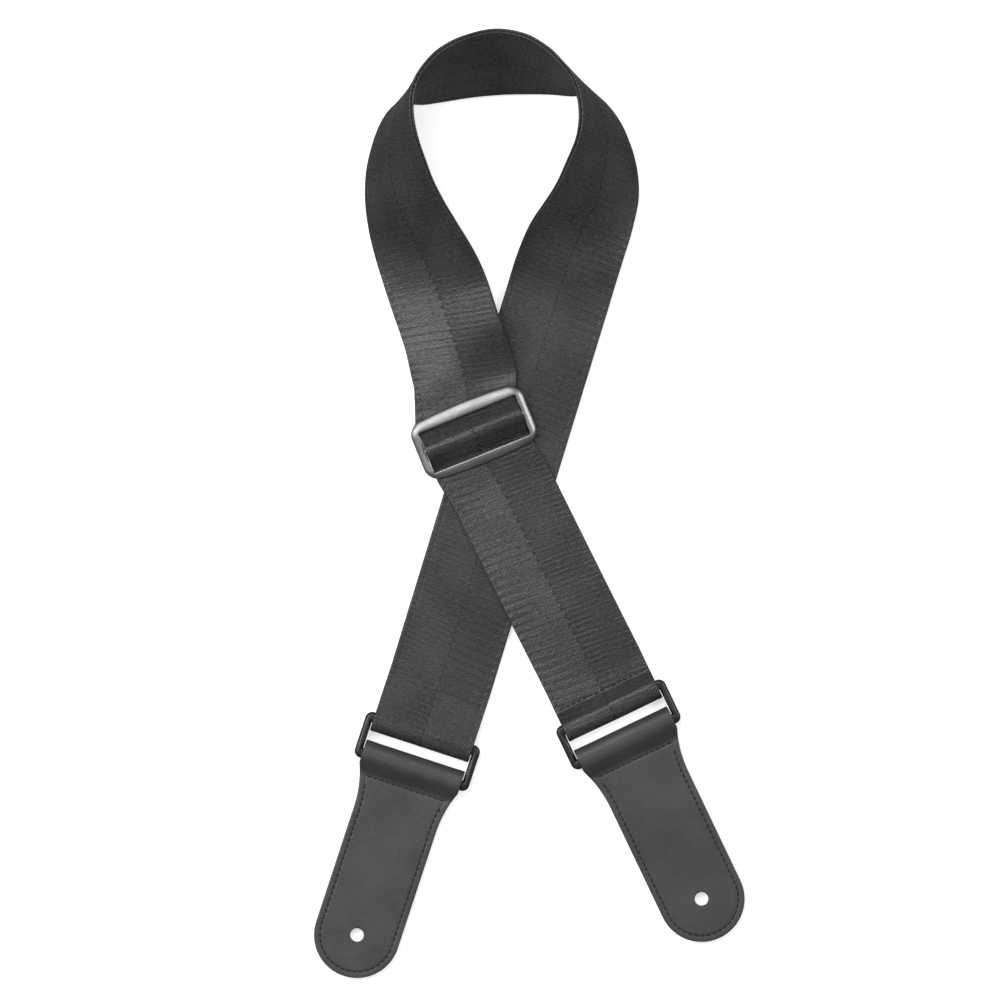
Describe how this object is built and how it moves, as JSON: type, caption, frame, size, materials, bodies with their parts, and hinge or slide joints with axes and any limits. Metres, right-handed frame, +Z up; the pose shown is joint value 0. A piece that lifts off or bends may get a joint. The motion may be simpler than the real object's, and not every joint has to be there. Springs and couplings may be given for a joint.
{
  "type": "guitar strap",
  "caption": "Adjustable webbing shoulder strap for a guitar, doubled through a metal slider, with plastic rings and folded leather ends that button onto the instrument.",
  "frame": {"origin": "on the resting surface, under the middle of the whole strap's bounding box", "axes": "+Z up from the table it lies on, +Y from the leather tabs towards the neck loop, +X across to the tab on the sewn side"},
  "size_m": [0.208, 0.458, 0.0507],
  "materials": {
    "webbing": "glossy woven polyester",
    "webbing_thread": "bonded thread",
    "slider_metal": "satin nickel",
    "ring_plastic": "satin moulded",
    "tab_leather": "smooth, fine grain",
    "tab_thread": "bonded thread"
  },
  "bodies": {
    "webbing": {"webbing_front_strand": "webbing", "webbing_upper_strand": "webbing", "webbing_neck_outer": "webbing", "webbing_neck_return": "webbing", "webbing_return_strand": "webbing", "webbing_fold_right": "webbing", "webbing_fold_left": "webbing", "webbing_seam_right": "webbing_thread"},
    "slider": {"slider_frame": "slider_metal", "webbing_slider_loop": "webbing", "webbing_seam_slider": "webbing_thread"},
    "right_ring": {"ring_right": "ring_plastic"},
    "left_ring": {"ring_left": "ring_plastic"},
    "right_tab": {"tab_right": "tab_leather", "tab_right_edge_seam": "tab_thread", "tab_right_fold_seam": "tab_thread"},
    "left_tab": {"tab_left": "tab_leather", "tab_left_edge_seam": "tab_thread", "tab_left_fold_seam": "tab_thread"}
  },
  "joints": [
    {"name": "slider_slide", "type": "slide", "parent": "webbing", "child": "slider", "axis": [0.4437, -0.8962, 0], "range_m": [0, 0.06], "deforming": ["webbing_front_strand", "webbing_upper_strand", "webbing_return_strand"]},
    {"name": "ring_right_swing", "type": "hinge", "parent": "webbing", "child": "right_ring", "pos_m": [0.03916, -0.09857, 0.0051], "axis": [0.9026, 0.4305, 0], "range_deg": [-60, 60]},
    {"name": "ring_left_swing", "type": "hinge", "parent": "webbing", "child": "left_ring", "pos_m": [-0.05126, -0.11114, 0.0051], "axis": [0.95, -0.3123, 0], "range_deg": [-60, 60]},
    {"name": "tab_right_swing", "type": "hinge", "parent": "right_ring", "child": "right_tab", "pos_m": [0.04691, -0.11481, 0.0051], "axis": [0.9026, 0.4305, 0], "range_deg": [-70, 70]},
    {"name": "tab_left_swing", "type": "hinge", "parent": "left_ring", "child": "left_tab", "pos_m": [-0.05688, -0.12824, 0.0051], "axis": [0.95, -0.3123, 0], "range_deg": [-70, 70]}
  ]
}
